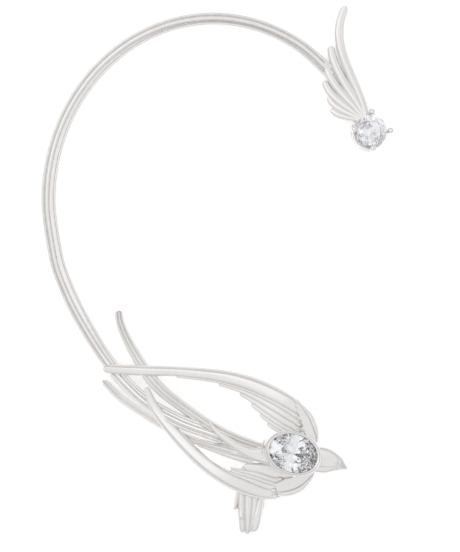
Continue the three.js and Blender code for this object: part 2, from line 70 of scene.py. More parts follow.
def loftRings(rings):
    # a closed skin through rings of points, with a fan on each end
    count = len(rings[0])
    points = [p for ring in rings for p in ring]
    faces = []
    for i in range(len(rings) - 1):
        for j in range(count):
            a, b = i * count + j, i * count + (j + 1) % count
            faces.append((a, b, b + count, a + count))
    first, last = len(points), len(points) + 1
    points += [np.mean(rings[0], axis=0), np.mean(rings[-1], axis=0)]
    base = (len(rings) - 1) * count
    for j in range(count):
        k = (j + 1) % count
        faces.append((first, k, j))
        faces.append((last, base + j, base + k))
    return np.array(points), faces


def sweepBar(stations, sectionAt, fixedSide=None):
    # stations are (x, y, z, width, height), z at the underside; the section stands upright
    feet = np.array([s[:3] for s in stations], float)
    rings = []
    for i, (_, _, _, width, height) in enumerate(stations):
        along = feet[min(i + 1, len(feet) - 1)] - feet[max(i - 1, 0)]
        along /= np.linalg.norm(along)
        if fixedSide is None:
            side = np.cross(upright, along)
            side /= np.linalg.norm(side)
            up = upright
        else:
            side = np.array(fixedSide, float)
            up = np.cross(along, side)
            up /= np.linalg.norm(up)
        section = sectionAt(i / (len(stations) - 1))
        rings.append([feet[i] + side * a * width / 2 + up * r * height for a, r in section])
    return loftRings(rings)


def roundSection(sides):
    turns = [2 * math.pi * i / sides for i in range(sides)]
    return [(math.cos(t), 0.5 + math.sin(t) / 2) for t in turns]


def topSection(rise, samples=22, foot=0.86, shoulder=0.34):
    # a flat underside, short sides, and a top whose rise is a function of across -1 to 1;
    # foot and shoulder are shares of the half width and of the height
    acrosses = [math.cos(math.pi * i / (samples - 1)) for i in range(samples)]
    return [(-foot, 0), (foot, 0)] + [(a, shoulder + (1 - shoulder) * rise(a)) for a in acrosses]


def domeRise(power, lean=0.0):
    # a crowned top, which can lean so that one feather laps over the next
    return lambda a: max(1 - abs(a) ** power, 0) ** (1 / 2.2) * (1 - abs(lean) + lean * a)


def fadeTo(value, start, end):
    # 0 before start, 1 after end, smooth between
    t = min(max((value - start) / (end - start), 0), 1)
    return t * t * (3 - 2 * t)


def roundedEnd(left, half, least=0.12):
    # the share of its half width that a strip keeps at a distance before its tip
    near = max(1 - left / half, 0)
    return max(math.sqrt(max(1 - near * near, 0)), least)


beforeTip = (0.7, 0.45, 0.25, 0.12, 0.04, 0)  # the last places of a strip, in steps from its tip


def tipPlaces(steps):
    # even places from 0 to 1, with some more just before the tip
    return [i / steps for i in range(steps)] + [1 - k / steps for k in beforeTip]


def endPlaces(steps):
    # the same at both ends
    places = tipPlaces(steps)
    return [1 - p for p in reversed(places[-len(beforeTip) - 1:])] + places[2:]


def tipTaper(place, point, least):
    # 1 as far as the point, then rounding down to the least at the end
    past = min(max((place - point) / (1 - point), 0), 1)
    return least + (1 - least) * math.sqrt(1 - past ** 2)


def makePiece(name, parts, material, node, sharpDegrees=38):
    # one mesh from (points, faces) parts in the hook's own frame, moved to the CAD frame
    points, faces, start = [], [], 0
    for partPoints, partFaces in parts:
        points.append(partPoints)
        faces += [tuple(v + start for v in f) for f in partFaces]
        start += len(partPoints)
    points = (np.vstack(points) + ownToCad) * millimetre
    mesh = bpy.data.meshes.new(name)
    mesh.from_pydata(points.tolist(), [], faces)
    mesh.update()
    mesh.shade_smooth()
    mesh.set_sharp_from_angle(angle=math.radians(sharpDegrees))
    mesh.materials.append(material)
    piece = bpy.data.objects.new(name, mesh)
    bpy.context.scene.collection.objects.link(piece)
    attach(piece, "root")
    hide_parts(node)
    return piece


# Materials
def linearColour(hexValue):
    channels = [int(hexValue[i:i + 2], 16) / 255 for i in (1, 3, 5)]
    return [c / 12.92 if c <= 0.04045 else ((c + 0.055) / 1.055) ** 2.4 for c in channels] + [1.0]


def addNode(tree, kind, settings=None, links=None):
    # settings: attribute or input name to value; links: input name to an output socket
    node = tree.nodes.new(kind)
    for name, value in (settings or {}).items():
        if isinstance(name, str) and hasattr(node, name):
            setattr(node, name, value)
        else:
            node.inputs[name].default_value = value
    for name, socket in (links or {}).items():
        tree.links.new(socket, node.inputs[name])
    return node


def newMaterial(name, surface):
    # a material with its surface shader linked to its output
    material = bpy.data.materials.new(name)
    material.use_nodes = True
    tree = material.node_tree
    tree.nodes.clear()
    shader = addNode(tree, "ShaderNodeBsdfPrincipled", surface)
    addNode(tree, "ShaderNodeOutputMaterial", links={"Surface": shader.outputs["BSDF"]})
    return material, tree, shader


mixFrom, mixTo, mixResult = 6, 7, 2  # a mix node's colour sockets, which share their names

# Rhodium-plated silver, satin brushed: pale and even, with a soft sheen and a faint warm-grey cloud
satin = {
    "paleMetal": "#F2F1EF", "shadedMetal": "#EAE7E6",
    "cloudPerMetre": 240, "cloudDetail": 3.0,   # clouds of the brushing, about 4 mm across
    "grainPerMetre": 9000, "grainDetail": 2.0,  # the real 0.03 mm grain, drawn 0.11 mm so it shows
    "grainDepth": 0.000004, "grainStrength": 0.5,
    "roughness": (0.24, 0.34),
}
# Rhodium-plated silver wire, drawn and polished: crisp bright lines with fine draw marks
polish = {
    "paleMetal": "#F5F4F3", "shadedMetal": "#EAE8E7",
    "cloudPerMetre": 1400, "cloudDetail": 4.0,  # the cloud follows the draw marks
    "grainPerMetre": 1400, "grainDetail": 4.0,  # the real 0.1 mm marks, drawn 0.7 mm so they show
    "grainDepth": 0.000003, "grainStrength": 0.3,
    "roughness": (0.1, 0.18),
}


def silver(name, finish):
    # a cloud of colour, and a grain that varies the sheen and dents the surface a little
    material, tree, shader = newMaterial(name, {"Metallic": 1.0})
    place = addNode(tree, "ShaderNodeTexCoord")
    cloud, grain = [
        addNode(tree, "ShaderNodeTexNoise",
                {"Scale": finish[pattern + "PerMetre"], "Detail": finish[pattern + "Detail"]},
                {"Vector": place.outputs["Object"]})
        for pattern in ("cloud", "grain")]
    colour = addNode(tree, "ShaderNodeMix", {
        "data_type": "RGBA", mixFrom: linearColour(finish["shadedMetal"]),
        mixTo: linearColour(finish["paleMetal"])}, {"Factor": cloud.outputs["Fac"]})
    smooth, rough = finish["roughness"]
    sheen = addNode(tree, "ShaderNodeMapRange", {"To Min": smooth, "To Max": rough},
                    {"Value": grain.outputs["Fac"]})
    bump = addNode(tree, "ShaderNodeBump",
                   {"Strength": finish["grainStrength"], "Distance": finish["grainDepth"]},
                   {"Height": grain.outputs["Fac"]})
    tree.links.new(colour.outputs[mixResult], shader.inputs["Base Color"])
    tree.links.new(sheen.outputs["Result"], shader.inputs["Roughness"])
    tree.links.new(bump.outputs["Normal"], shader.inputs["Normal"])
    return material


# Cut and polished diamond: clear, hard sparkle, with a trace of cool tint from place to place
diamond = {
    "clearStone": "#FFFFFF", "coolStone": "#F4F6FF",
    "cloudPerMetre": 400,  # patches of tint 2.5 mm across
    "ior": 2.42,
}


def cutDiamond():
    material, tree, shader = newMaterial("cut_clear_diamond", {
        "Roughness": 0.0, "IOR": diamond["ior"], "Transmission Weight": 1.0})
    place = addNode(tree, "ShaderNodeTexCoord")
    cloud = addNode(tree, "ShaderNodeTexNoise", {"Scale": diamond["cloudPerMetre"]},
                    {"Vector": place.outputs["Object"]})
    colour = addNode(tree, "ShaderNodeMix", {
        "data_type": "RGBA", mixFrom: linearColour(diamond["coolStone"]),
        mixTo: linearColour(diamond["clearStone"])}, {"Factor": cloud.outputs["Fac"]})
    tree.links.new(colour.outputs[mixResult], shader.inputs["Base Color"])
    return material


satinMetal = silver("satin_rhodium_silver", satin)
polishedMetal = silver("polished_rhodium_silver", polish)
clearStone = cutDiamond()
print("materials made: satin silver, polished silver, cut diamond")

# The hook's three wires
hook = {
    "width": 43.2, "height": 47.2, "drop": 30.1,
    "startTurn": 43.5, "leaveTurn": 195,
    "wireHeight": 1.0, "lap": 0.08, "wireLength": 115, "underRump": 2.2, "underSink": 0.5,
    "outerWire": 0.48, "middleWire": 0.74, "innerWire": 0.5,
    "innerSetback": 1.75, "innerReach": 0.972,
    "arcSpread": [
        {"turn": 43.5, "spread": 0.88},
        {"turn": 90, "spread": 0.83},
        {"turn": 140, "spread": 0.95},
        {"turn": 195, "spread": 1.0},
    ],
    "run": [  # out, down and rise are shares of half the width, the drop and the bird's rise
        {"out": 0.92, "down": 0.33, "rise": 0, "spread": 1.02},
        {"out": 0.81, "down": 0.5, "rise": 0, "spread": 1.0},
        {"out": 0.63, "down": 0.7, "rise": 0.07, "spread": 0.88},
        {"out": 0.43, "down": 0.85, "rise": 0.33, "spread": 0.86},
        {"out": 0.22, "down": 0.94, "rise": 0.67, "spread": 0.86},
        {"out": -0.01, "down": 1.0, "rise": 0.97, "spread": 0.86},
    ],
}
bird = {
    "rise": 6.8, "reach": 9.75, "fall": 1.46,
    "stoneLength": 6.4, "stoneWidth": 4.8, "clearance": 0.12,
    "bezelWall": 0.34, "bezelRim": 0.3, "bezelLean": 13, "bezelBearing": 15,
    "bezelSpin": -17, "bezelSink": 0.35,
}

hookEdge = []
arcSteps = 10
for i in range(arcSteps + 1):
    turn = hook["startTurn"] + (hook["leaveTurn"] - hook["startTurn"]) * i / arcSteps
    hookEdge.append({
        "x": hook["width"] / 2 * math.cos(math.radians(turn)),
        "y": hook["height"] / 2 * math.sin(math.radians(turn)),
        "z": 0,
        "spread": readRows(hook["arcSpread"], "spread", turn, "turn"),
    })
for row in hook["run"]:
    hookEdge.append({"x": -row["out"] * hook["width"] / 2, "y": -row["down"] * hook["drop"],
                     "z": row["rise"] * bird["rise"], "spread": row["spread"]})

birdX = hookEdge[-1]["x"] + bird["reach"]
birdY = hookEdge[-1]["y"] - bird["fall"]

# the hook's own frame has its ellipse's middle at 0, 0; the CAD solids say where that is
frameLow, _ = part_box("cuff_frame")
ovalLow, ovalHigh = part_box("oval_stone")
ownToCad = np.array([
    frameLow.x / millimetre + hook["width"] / 2,
    (ovalLow.y + ovalHigh.y) / 2 / millimetre - birdY,
    0.0,
])


def hookWire(setback, width, spreads, reach):
    # a wire set back from the hook's outer edge, which may follow the spread of the wires
    step = 1 / 400
    stations = []
    for share in endPlaces(240):
        place = reach * share
        ahead, behind = min(place + step, 1), max(place - step, 0)
        dx = readRows(hookEdge, "x", ahead) - readRows(hookEdge, "x", behind)
        dy = readRows(hookEdge, "y", ahead) - readRows(hookEdge, "y", behind)
        inward = setback * (readRows(hookEdge, "spread", place) if spreads else 1)
        size = math.hypot(dx, dy)
        x = readRows(hookEdge, "x", place) - dy * inward / size
        y = readRows(hookEdge, "y", place) + dx * inward / size
        z = max(readRows(hookEdge, "z", place), 0)
        endShare = roundedEnd(min(share, 1 - share) * reach * hook["wireLength"], width / 2)
        drop = hook["wireHeight"] * (1 - endShare) / 2
        stations.append((x, y, z + drop, width * endShare, hook["wireHeight"] * endShare))
    if reach == 1:
        # it runs on under the rump's leaf, where it is soldered
        stations = stations[:-len(beforeTip)]
        x, y, z, _, _ = stations[-1]
        onSteps = 8
        for k in range(1, onSteps + 1):
            on = hook["underRump"] * k / onSteps
            stations.append((x + on * dx / size, y + on * dy / size,
                             z - hook["underSink"] * k / onSteps, width, hook["wireHeight"]))
    return sweepBar(stations, lambda place: roundSection(20))


outerLine = hook["outerWire"] / 2
middleLine = hook["outerWire"] + hook["middleWire"] / 2 - hook["lap"]
innerPart = hookWire(hook["innerSetback"], hook["innerWire"], True, hook["innerReach"])
makePiece("outer_wire", [hookWire(outerLine, hook["outerWire"], False, 1)],
          polishedMetal, "cuff_frame")
makePiece("middle_wire", [hookWire(middleLine, hook["middleWire"], False, 1)],
          polishedMetal, "cuff_frame")
makePiece("inner_wire", [innerPart], polishedMetal, "cuff_frame")
print("hook wires made")

# Wings
bezelLength = bird["stoneLength"] + 2 * (bird["clearance"] + bird["bezelWall"])
bezelWidth = bird["stoneWidth"] + 2 * (bird["clearance"] + bird["bezelWall"])


def onBird(along, across):
    # a place on the bird in half lengths and half widths of the bezel
    return birdX + along * bezelLength / 2, birdY + across * bezelWidth / 2


bothWings = {
    "featherHeight": 0.85, "lap": 0.12, "layerDrop": 0.03, "crown": 3.6, "leastHalf": 0.35,
    "covertCrown": 3, "covertDip": 0.3, "shoulderHeight": 1.3, "padStep": 0.085,
    "padDish": 0.69, "padSwell": 0.06,
}
# rows follow the leading edge; along is a share of the length, edge and spread of the breadth
upperWing = {
    "root": onBird(0.58, 1.2), "angle": 164.6, "length": 26.8, "breadth": 6.2, "leading": -1,
    "rows": [
        {"along": -0.05, "edge": 0.0, "spread": 0.5, "lift": 1.04},
        {"along": 0, "edge": 0.19, "spread": 0.52, "lift": 1.06},
        {"along": 0.05, "edge": 0.35, "spread": 0.62, "lift": 1.06},
        {"along": 0.13, "edge": 0.49, "spread": 0.8, "lift": 1.04},
        {"along": 0.23, "edge": 0.595, "spread": 0.96, "lift": 0.96},
        {"along": 0.34, "edge": 0.64, "spread": 1.0, "lift": 0.85},
        {"along": 0.46, "edge": 0.605, "spread": 0.93, "lift": 0.69},
        {"along": 0.65, "edge": 0.445, "spread": 0.78, "lift": 0.46},
        {"along": 0.84, "edge": 0.245, "spread": 0.8, "lift": 0.3},
        {"along": 1.0, "edge": 0.07, "spread": 0.62, "lift": 0.21},
    ],
    "feathers": [  # each feather's lower line: its share of the spread at the root and at the tip
        {"root": 0.06, "tip": 0.05, "reach": 0.985, "bend": 1},
        {"root": 0.4, "tip": 0.25, "reach": 1.0, "bend": 4},
        {"root": 0.62, "tip": 0.3, "reach": 0.66, "bend": 4},
        {"root": 0.8, "tip": 0.36, "reach": 0.46, "bend": 2},
        {"root": 1.0, "tip": 0.44, "reach": 0.355, "bend": 1.3},
        {"root": 1.08, "tip": 0.57, "reach": 0.29, "bend": 1.05},
        {"root": 1.2, "tip": 0.71, "reach": 0.238, "bend": 1},
        {"root": 1.3, "tip": 0.86, "reach": 0.195, "bend": 1},
    ],
    "lean": -0.12, "fanEdge": 1.0,
    "coverts": [{"share": 0.05, "along": 0.102}, {"share": 0.36, "along": 0.076},
                {"share": 0.84, "along": 0.066}],
    "covertCount": 6, "covertLength": 1.0, "covertWidth": 0.66, "covertHeight": 1.08,
    "padShare": 0.62,
    "shoulder": [
        {"along": -0.05, "across": -0.3, "width": 0.14},
        {"along": -0.012, "across": -0.1, "width": 0.33},
        {"along": 0.026, "across": 0.11, "width": 0.34},
        {"along": 0.06, "across": 0.26, "width": 0.24},
        {"along": 0.085, "across": 0.37, "width": 0.12},
    ],
}
lowerWing = {
    "root": onBird(-0.1, -1.19), "angle": 147.1, "length": 21.4, "breadth": 5.0, "leading": 1,
    "rows": [
        {"along": -0.04, "edge": 0.28, "spread": 0.6, "lift": 1.0},
        {"along": 0, "edge": 0.52, "spread": 0.62, "lift": 1.02},
        {"along": 0.08, "edge": 0.76, "spread": 0.74, "lift": 1.02},
        {"along": 0.2, "edge": 0.93, "spread": 0.97, "lift": 1.02},
        {"along": 0.34, "edge": 1.0, "spread": 1.0, "lift": 0.99},
        {"along": 0.48, "edge": 0.97, "spread": 1.03, "lift": 0.9},
        {"along": 0.64, "edge": 0.83, "spread": 1.0, "lift": 0.76},
        {"along": 0.81, "edge": 0.6, "spread": 0.9, "lift": 0.6},
        {"along": 0.92, "edge": 0.38, "spread": 0.76, "lift": 0.52},
        {"along": 1.0, "edge": 0.1, "spread": 0.5, "lift": 0.48},
    ],
    "feathers": [
        {"root": 0.07, "tip": 0.05, "reach": 0.97, "bend": 1},
        {"root": 0.4, "tip": 0.31, "reach": 1.0, "bend": 3},
        {"root": 0.64, "tip": 0.33, "reach": 0.43, "bend": 1.3},
        {"root": 0.8, "tip": 0.46, "reach": 0.325, "bend": 1.4},
        {"root": 0.97, "tip": 0.47, "reach": 0.335, "bend": 1.1},
        {"root": 1.75, "tip": 0.76, "reach": 0.27, "bend": 1.5},
    ],
    "lean": 0.12, "fanEdge": 1.5,
    "coverts": [{"share": 0.86, "along": 0.072}, {"share": 0.5, "along": 0.074},
                {"share": 0.14, "along": 0.044}],
    "covertCount": 4, "covertLength": 0.9, "covertWidth": 0.72, "covertHeight": 1.06,
    "padShare": 0.84,
    "shoulder": [
        {"along": -0.09, "across": -0.5, "width": 0.12},
        {"along": -0.07, "across": -0.26, "width": 0.34},
        {"along": -0.045, "across": -0.02, "width": 0.46},
        {"along": -0.004, "across": 0.2, "width": 0.48},
        {"along": 0.035, "across": 0.38, "width": 0.34},
    ],
}


def wingParts(wing):
    turn = math.radians(wing["angle"])
    out = np.array([math.cos(turn), math.sin(turn)])
    up = np.array([-out[1], out[0]]) * wing["leading"]

    def placeOf(along, across):
        x, y = np.array(wing["root"]) + out * along * wing["length"] + up * across * wing["breadth"]
        return x, y, readRows(wing["rows"], "lift", along, "along") * bird["rise"]

    def lineShare(line, along):
        # the lines fan out from the root, and none passes the fan's trailing edge
        left = max(1 - along / line["reach"], 0) ** line["bend"]
        return min(line["tip"] + (line["root"] - line["tip"]) * left, wing["fanEdge"])

    def onSpread(along, share):
        edge = readRows(wing["rows"], "edge", along, "along")
        return placeOf(along, edge - share * readRows(wing["rows"], "spread", along, "along"))

    feathers = []
    start = 0.01
    above = {"root": 0, "tip": 0, "reach": 1, "bend": 1}
    for layer, line in enumerate(wing["feathers"]):
        tip = line["reach"]
        stations = []
        for place in tipPlaces(math.ceil(30 + 50 * tip)):
            along = start + (tip - start) * place
            first, last = lineShare(above, along), lineShare(line, along)
            x, y, z = onSpread(along, (first + last) / 2)
            spread = readRows(wing["rows"], "spread", along, "along")
            wide = (last - first) * spread * wing["breadth"] + bothWings["lap"]
            wide *= roundedEnd((tip - along) * wing["length"],
                               max(wide / 2, bothWings["leastHalf"]))
            z -= bothWings["layerDrop"] * layer
            stations.append((x, y, z, wide, bothWings["featherHeight"]))
        section = topSection(domeRise(bothWings["crown"], wing["lean"]))
        feathers.append(sweepBar(stations, lambda place: section))
        above = line

    coverts = []
    for k in range(wing["covertCount"]):
        place = k / (wing["covertCount"] - 1)
        share = readRows(wing["coverts"], "share", place)
        end = readRows(wing["coverts"], "along", place)
        stations = []
        for step in tipPlaces(14):
            left = (1 - step) * wing["covertLength"]
            x, y, z = onSpread(end - left / wing["length"], share)
            wide = wing["covertWidth"] * roundedEnd(left, wing["covertWidth"] * 0.55)
            dip = bothWings["covertDip"] * (1 - fadeTo(step, 0, 0.45))
            stations.append((x, y, z, wide, wing["covertHeight"] * (1 - dip)))
        section = topSection(domeRise(bothWings["covertCrown"], wing["lean"]))
        coverts.append(sweepBar(stations, lambda place: section))

    stations = []
    padSteps = 60
    for i in range(padSteps + 1):
        place = i / padSteps
        x, y, z = placeOf(readRows(wing["shoulder"], "along", place),
                          readRows(wing["shoulder"], "across", place))
        wide = readRows(wing["shoulder"], "width", place) * wing["breadth"]
        wide *= roundedEnd(i * bothWings["padStep"], 0.5, 0.3)
        stations.append((x, y, z, wide, bothWings["shoulderHeight"]))

    def padRise(a):
        # from the edge that lies on the feathers, over a shallow dish, up to the raised outer rim
        s = a * wing["leading"]
        dish = bothWings["padDish"] + bothWings["padSwell"] * fadeTo(-s, 0.1, 0.9)
        rim = fadeTo(s, 0.3, 0.46)
        outer = max(1 - max(s, 0) ** 5, 0) ** 0.5
        return (dish + (1 - dish) * rim) * outer

    pad = [(a * (wing["padShare"] if a * wing["leading"] < 0 else 1), r)
           for a, r in topSection(padRise, 40)]
    shoulder = sweepBar(stations, lambda place: pad)
    return feathers, coverts + [shoulder]


for name, wing in (("upper_wing", upperWing), ("lower_wing", lowerWing)):
    feathers, shoulder = wingParts(wing)
    makePiece(name + "_feathers", feathers, satinMetal, "cuff_frame")
    makePiece(name + "_shoulder", shoulder, satinMetal, "cuff_frame")
print("wings made")

# Tail and body
tail = {
    "height": 0.85, "ridgeDepth": 0.4,
    "upper": {
        "root": onBird(-1.06, 0.25), "reach": 17.9, "rise": 17.0, "width": 1.4, "ridges": 3,
        "rows": [
            {"left": 0, "up": 0, "lift": 0.98, "width": 0.8},
            {"left": 0.19, "up": 0.07, "lift": 0.96, "width": 0.95},
            {"left": 0.36, "up": 0.16, "lift": 0.85, "width": 1.0},
            {"left": 0.53, "up": 0.28, "lift": 0.66, "width": 1.05},
            {"left": 0.67, "up": 0.39, "lift": 0.45, "width": 1.14},
            {"left": 0.78, "up": 0.51, "lift": 0.29, "width": 1.16},
            {"left": 0.87, "up": 0.66, "lift": 0.17, "width": 1.06},
            {"left": 0.945, "up": 0.8, "lift": 0.1, "width": 0.94},
            {"left": 0.99, "up": 0.92, "lift": 0.08, "width": 0.86},
            {"left": 1.0, "up": 1.0, "lift": 0.1, "width": 0.82},
        ],
    },
    "lower": {
        "root": onBird(-1.06, -0.15), "reach": 19.9, "rise": 9.4, "width": 1.4, "ridges": 2,
        "rows": [
            {"left": 0, "up": 0, "lift": 0.98, "width": 0.7},
            {"left": 0.14, "up": 0.06, "lift": 0.96, "width": 0.8},
            {"left": 0.28, "up": 0.13, "lift": 0.86, "width": 0.8},
            {"left": 0.42, "up": 0.21, "lift": 0.7, "width": 0.8},
            {"left": 0.54, "up": 0.32, "lift": 0.52, "width": 0.8},
            {"left": 0.66, "up": 0.45, "lift": 0.34, "width": 0.8},
            {"left": 0.78, "up": 0.61, "lift": 0.2, "width": 0.8},
            {"left": 0.89, "up": 0.77, "lift": 0.1, "width": 0.8},
            {"left": 1.0, "up": 1.0, "lift": 0.06, "width": 0.66},
        ],
    },
    "short": {
        "root": onBird(-1.33, -0.24), "reach": 7.1, "rise": 1.9, "width": 1.6, "ridges": 2,
        "rows": [
            {"left": 0, "up": 0, "lift": 0.97, "width": 1.0},
            {"left": 0.35, "up": 0.3, "lift": 0.95, "width": 1.0},
            {"left": 0.7, "up": 0.68, "lift": 0.92, "width": 0.7},
            {"left": 1.0, "up": 1.0, "lift": 0.9, "width": 0.4},
        ],
    },
}


def ridgedRise(ridges, depth):
    # a flat top of rounded ridges with sharp valleys between them
    def rise(a):
        edge = max(1 - abs(a) ** 5, 0) ** 0.5
        wave = abs(math.sin(math.pi * ridges * (a + 1) / 2)) ** 0.7
        return edge * (1 - depth * (1 - wave))
    return rise


def streamerPart(feather, steps):
    stations = []
    for place in tipPlaces(steps):
        left = (1 - place) * math.hypot(feather["reach"], feather["rise"])
        x = feather["root"][0] - readRows(feather["rows"], "left", place) * feather["reach"]
        y = feather["root"][1] + readRows(feather["rows"], "up", place) * feather["rise"]
        z = readRows(feather["rows"], "lift", place) * bird["rise"]
        wide = feather["width"] * readRows(feather["rows"], "width", place)
        wide *= roundedEnd(left, wide / 2)
        stations.append((x, y, z, wide, tail["height"]))
    section = topSection(ridgedRise(feather["ridges"], tail["ridgeDepth"]), 60)
    return sweepBar(stations, lambda place: section)


makePiece("tail_streamers", [streamerPart(tail["upper"], 110), streamerPart(tail["lower"], 100)],
          satinMetal, "cuff_frame")
makePiece("short_tail_feathers", [streamerPart(tail["short"], 40)],
          satinMetal, "cuff_frame")

body = {
    "width": 3.3, "height": 1.7,
    "rumpReach": 10.6, "rumpLift": 4.2, "beakReach": 6.8, "beakDrop": 1.95,
    "rumpEnds": 0.395, "headStarts": 0.592, "sides": 0.58,
    "creaseAt": 0.823, "creaseDepth": 0.1, "creaseLength": 0.008,  # where the beak begins
    "collarFrom": 169, "collarTo": 208, "collarGap": 0.26, "collarWidth": 0.34,
    "rows": [
        {"left": 1, "up": 1, "width": 0.04, "height": 0.5},
        {"left": 0.92, "up": 0.7, "width": 0.16, "height": 0.62},
        {"left": 0.765, "up": 0.38, "width": 0.28, "height": 0.8},
        {"left": 0.6, "up": 0.12, "width": 0.37, "height": 0.92},
        {"left": 0.44, "up": -0.03, "width": 0.52, "height": 1.0},
        {"left": 0.2, "up": -0.03, "width": 0.95, "height": 1.0},
        {"left": 0, "up": 0, "width": 1.1, "height": 1.0},
        {"left": -0.37, "up": -0.34, "width": 1.0, "height": 1.0},
        {"left": -0.59, "up": -0.47, "width": 0.98, "height": 1.05},
        {"left": -0.73, "up": -0.57, "width": 0.8, "height": 1.0},
        {"left": -0.84, "up": -0.7, "width": 0.58, "height": 0.8},
        {"left": -0.93, "up": -0.86, "width": 0.3, "height": 0.55},
        {"left": -1, "up": -1, "width": 0.06, "height": 0.3},
    ],
}


def softBump(place, middle, half, height):
    # how high a rounded bump, or how deep a groove, is at a place
    return height * math.exp(-((place - middle) / half) ** 2)


def bodyPart(first, last, steps, riseAt):
    # from one place along the rows to another
    stations = []
    for i in range(steps + 1):
        place = first + (last - first) * i / steps
        left = readRows(body["rows"], "left", place)
        up = readRows(body["rows"], "up", place)
        x = birdX - left * (body["rumpReach"] if left > 0 else body["beakReach"])
        y = birdY + up * (body["rumpLift"] if left > 0 else body["beakDrop"])
        wide = max(readRows(body["rows"], "width", place) * body["width"], 0.1)
        high = readRows(body["rows"], "height", place) * body["height"]
        high *= 1 - softBump(place, body["creaseAt"], body["creaseLength"], body["creaseDepth"])
        stations.append((x, y, bird["rise"], wide, high))
    section = topSection(riseAt, 44, shoulder=body["sides"])
    return sweepBar(stations, lambda place: section)


# the body ends inside the setting's wall on each side, so the pocket under the stone stays empty
rumpLeaf = bodyPart(0, body["rumpEnds"], 90, domeRise(2.6, 0.1))


def headRise(a):
    # crown, cheek and a lower throat band, with a groove between each two
    grooves = softBump(a, 0.02, 0.05, 0.07) + softBump(a, -0.52, 0.05, 0.16)
    throat = 0.14 * (1 - fadeTo(a, -0.56, -0.46))
    return domeRise(2.4)(a) * (1 - grooves) - throat * (1 - a * a)


headPart = bodyPart(body["headStarts"], 1, 160, headRise)


def collarPart():
    # a low band round the rump's end of the setting
    stations = []
    steps = 40
    swing = body["collarTo"] - body["collarFrom"]
    spin = math.radians(bird["bezelSpin"])
    for i in range(steps + 1):
        turn = math.radians(body["collarFrom"] + swing * i / steps)
        offX = (bezelLength / 2 + body["collarGap"]) * math.cos(turn)
        offY = (bezelWidth / 2 + body["collarGap"]) * math.sin(turn)
        ending = roundedEnd(min(i, steps - i) * 0.09, 0.9, 0.2)
        stations.append((birdX + offX * math.cos(spin) - offY * math.sin(spin),
                         birdY + offX * math.sin(spin) + offY * math.cos(spin),
                         bird["rise"], body["collarWidth"] * ending,
                         body["height"] * (0.82 + 0.2 * ending)))
    return sweepBar(stations, lambda place: topSection(domeRise(3)))


makePiece("rump_and_body", [rumpLeaf, collarPart()], satinMetal, "cuff_frame")
makePiece("head_and_beak", [headPart], satinMetal, "cuff_frame")
print("tail and body made")


# Stones and their settings
def settingFrame(foot, bearing, lean, spin):
    # stands on its foot, spun, then leaning towards the bearing
    turn = math.radians(bearing)
    hinge = np.cross(upright, [math.cos(turn), math.sin(turn), 0])
    tilt = Quaternion(Vector(hinge), math.radians(lean))
    twist = Quaternion(Vector(upright), math.radians(spin))
    return Matrix.Translation(Vector(foot)) @ (tilt @ twist).to_matrix().to_4x4()


def placed(part, matrix):
    points, faces = part
    return np.array([matrix @ Vector(p) for p in points]), faces


cut = {  # shares of the stone's width; the girdle and the culet's gap are in mm
    "table": 0.56, "crown": 0.15, "seat": 0.41, "pavilion": 0.435, "lowerHalf": 0.22,
    "girdle": 0.16, "culetGap": 0.3,
}


def girdleOver(width):
    # the girdle's height over the setting's foot
    return cut["seat"] * width + cut["culetGap"]


def turnedPart(profile, length, width, sides=96):
    # a profile of (radius, height) turned round an oval of that length and width, closed in a ring
    points, faces = [], []
    count = len(profile)
    for i in range(sides):
        turn = 2 * math.pi * i / sides
        for radius, height in profile:
            points.append((radius * math.cos(turn), radius * width / length * math.sin(turn),
                           height))
    for i in range(sides):
        for j in range(count):
            a, b = i * count + j, ((i + 1) % sides) * count + j
            c, d = ((i + 1) % sides) * count + (j + 1) % count, i * count + (j + 1) % count
            faces.append((a, b, c, d))
    return np.array(points), faces


def cutStonePart(length, width):
    # a brilliant: table, 8 stars, 8 kites, 32 girdle facets, 16 lower halves and 8 mains
    points = []
    crown, pavilion = cut["crown"] * width, cut["pavilion"] * width
    half = cut["girdle"] / 2
    between = math.cos(math.pi / 8)

    def ring(sides, offset, share, height):
        start = len(points)
        for i in range(sides):
            turn = math.pi / 8 * (16 * i / sides + offset)
            points.append((math.cos(turn) * share * length / 2,
                           math.sin(turn) * share * width / 2, height))
        return lambda i: start + i % sides

    starShare, lowerShare = 0.5 + cut["table"] * 0.55, cut["lowerHalf"]
    starHeight = crown * (1 - starShare * between) / (1 - cut["table"]) + half
    lowerHeight = -pavilion * (1 - lowerShare * between) - half
    table = ring(8, 0, cut["table"], crown + half)
    star = ring(8, 1, starShare, starHeight)
    top = ring(16, 0, 1, half)
    foot = ring(16, 0, 1, -half)
    lower = ring(8, 1, lowerShare, lowerHeight)
    points.append((0, 0, -pavilion - half))
    culet = len(points) - 1
    faces = [tuple(table(i) for i in range(8))]
    for i in range(8):
        faces.append((table(i), star(i), table(i + 1)))
        faces.append((table(i), star(i - 1), top(2 * i), star(i)))
        faces.append((star(i), top(2 * i), top(2 * i + 1)))
        faces.append((star(i), top(2 * i + 1), top(2 * i + 2)))
        faces.append((lower(i), foot(2 * i + 1), foot(2 * i)))
        faces.append((lower(i), foot(2 * i + 2), foot(2 * i + 1)))
        faces.append((culet, lower(i), foot(2 * i), lower(i - 1)))
    for j in range(16):
        faces.append((top(j), foot(j), foot(j + 1), top(j + 1)))
    return np.array(points), faces


bezelShift = girdleOver(bird["stoneWidth"]) * math.sin(math.radians(bird["bezelLean"]))
bezelTurn = math.radians(bird["bezelBearing"])
bezelFrame = settingFrame(
    (birdX - bezelShift * math.cos(bezelTurn), birdY - bezelShift * math.sin(bezelTurn),
     bird["rise"] + bird["bezelSink"]),
    bird["bezelBearing"], bird["bezelLean"], bird["bezelSpin"])


